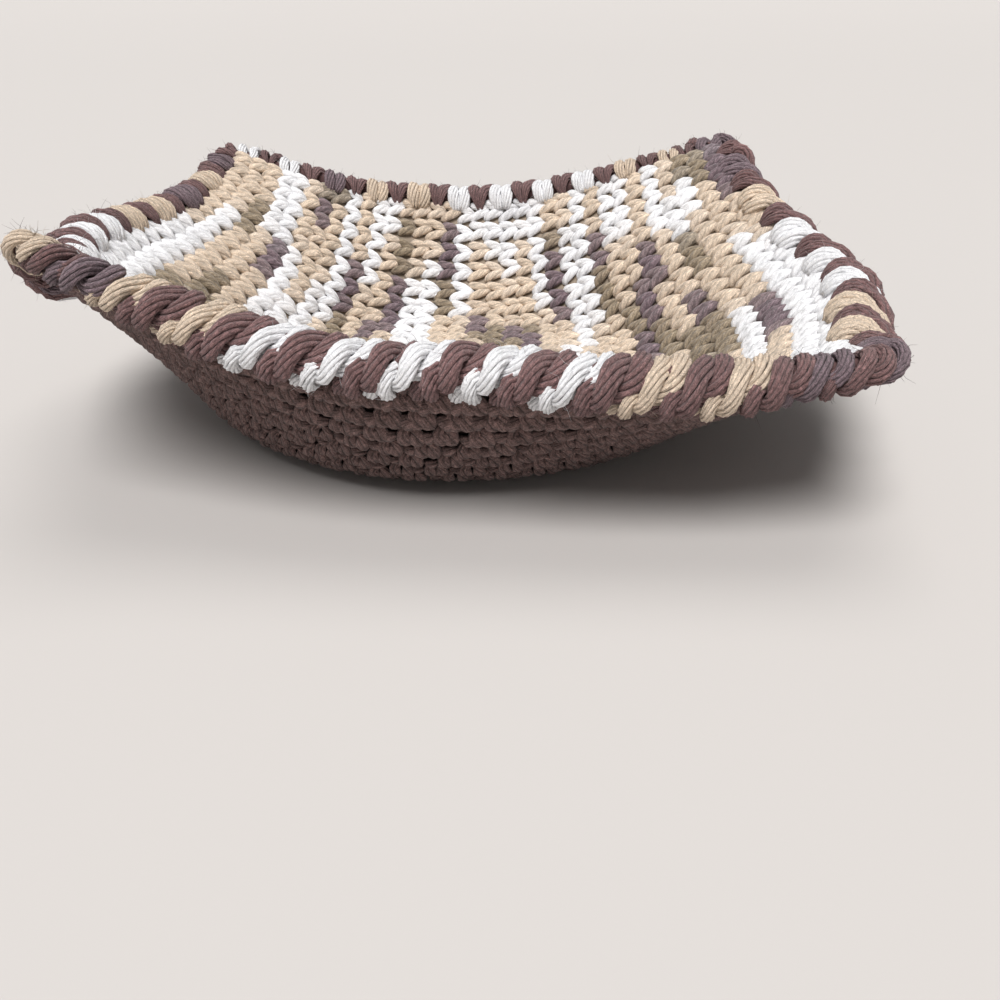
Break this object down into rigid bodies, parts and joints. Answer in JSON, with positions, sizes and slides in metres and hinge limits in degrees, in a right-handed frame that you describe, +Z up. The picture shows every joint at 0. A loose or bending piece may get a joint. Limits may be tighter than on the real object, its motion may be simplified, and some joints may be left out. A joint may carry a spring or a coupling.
{
  "type": "crochet bowl cozy",
  "caption": "Square two-layer crochet cozy whose sides and corners stand up round a bowl, with a flat round foot and a rope-like edging.",
  "frame": {"origin": "middle of the flat round foot, on the surface that the cozy stands on", "axes": "+Z up, out of the open top; +X towards the right side, +Y towards the back side, each along one side of the square"},
  "size_m": [0.2192, 0.198, 0.0662],
  "materials": {
    "brown_yarn": "matt plied cotton yarn in linen stitch, warm grey brown",
    "variegated_yarn": "matt plied cotton yarn in single crochet, dyed in lengths of white, tan and mauve brown",
    "edging_yarn": "brown and variegated cotton yarn in alternating thick slanted stitches"
  },
  "bodies": {
    "root": {"outer_panel": "brown_yarn", "inner_panel": "variegated_yarn", "edging": "edging_yarn"}
  },
  "joints": []
}
